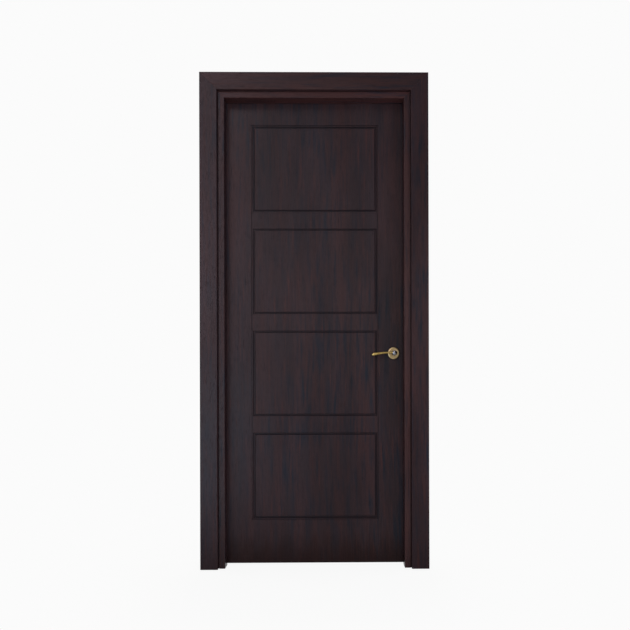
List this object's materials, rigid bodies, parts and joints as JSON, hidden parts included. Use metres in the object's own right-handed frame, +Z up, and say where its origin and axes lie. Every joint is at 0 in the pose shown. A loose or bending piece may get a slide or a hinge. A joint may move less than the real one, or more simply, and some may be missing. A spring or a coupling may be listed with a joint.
{
  "type": "panelled door with frame",
  "caption": "Dark wood front door with routed panels, hung in a rebated frame with mitred architraves, opened by a lever handle on a round rose that draws a sprung latch.",
  "frame": {"origin": "on the floor, under the middle of the doorway and the middle of the depth", "axes": "+Z up, the front with the recessed leaf faces -Y, +X to the right seen from the front, towards the handle; the leaf opens to +Y"},
  "size_m": [0.992, 0.174, 2.152],
  "materials": {
    "frame_wood": "dark wenge-look veneer, satin",
    "casing_wood": "dark wenge-look veneer, satin",
    "leaf_wood": "dark wenge-look veneer, satin",
    "core_wood": "edges stained to match the skins",
    "gold": "satin champagne gold",
    "silver": "satin nickel",
    "steel": "zinc plated",
    "seal_rubber": "matt"
  },
  "bodies": {
    "frame": {"hinge_jamb": "frame_wood", "lock_jamb": "frame_wood", "head_jamb": "frame_wood", "front_casing_hinge_side": "casing_wood", "front_casing_lock_side": "casing_wood", "front_casing_head": "casing_wood", "back_casing_hinge_side": "casing_wood", "back_casing_lock_side": "casing_wood", "back_casing_head": "casing_wood", "seal_hinge_side": "seal_rubber", "seal_lock_side": "seal_rubber", "seal_head": "seal_rubber", "strike_plate": "steel", "strike_screws": "steel", "hinge_frame_plate_bottom": "steel", "hinge_frame_plate_middle": "steel", "hinge_frame_plate_top": "steel", "hinge_pin_bottom": "steel", "hinge_pin_middle": "steel", "hinge_pin_top": "steel", "hinge_frame_screws": "steel"},
    "leaf": {"leaf_front_skin": "leaf_wood", "leaf_back_skin": "leaf_wood", "leaf_hinge_stile": "core_wood", "leaf_lock_stile": "core_wood", "leaf_top_rail": "core_wood", "leaf_bottom_rail": "core_wood", "leaf_core": "core_wood", "hinge_door_plate_bottom": "steel", "hinge_door_plate_middle": "steel", "hinge_door_plate_top": "steel", "hinge_door_screws": "steel", "latch_case": "steel", "latch_case_lid": "steel", "latch_forend": "steel", "forend_screws": "steel", "latch_spring": "steel", "rose_base_front": "steel", "rose_base_back": "steel", "rose_cover_front": "gold", "rose_cover_back": "gold", "rose_bolts": "steel"},
    "handle": {"lever_front": "gold", "lever_back": "gold", "lever_cap_front": "silver", "lever_cap_back": "silver", "spindle": "steel", "latch_follower": "steel", "lever_grub_screws": "steel"},
    "latch": {"latch_bolt": "steel"}
  },
  "joints": [
    {"name": "leaf_swing", "type": "hinge", "parent": "frame", "child": "leaf", "pos_m": [-0.4015, 0.036, 1.056], "axis": [0, 0, 1], "range_deg": [0, 160]},
    {"name": "handle_turn", "type": "hinge", "parent": "leaf", "child": "handle", "pos_m": [0.35, 0.009, 0.937], "axis": [0, -1, 0], "range_deg": [0, 40], "stiffness_Nm_per_rad": 1.5, "springref_deg": -34.38},
    {"name": "latch_slide", "type": "slide", "parent": "leaf", "child": "latch", "axis": [-1, 0, 0], "range_m": [0, 0.012], "stiffness_N_per_m": 300, "springref_m": -0.01, "deforming": ["latch_spring"]}
  ],
  "couplings": [
    {"joint": "latch_slide", "follows": "handle_turn", "m_per_rad": 0.01718}
  ]
}
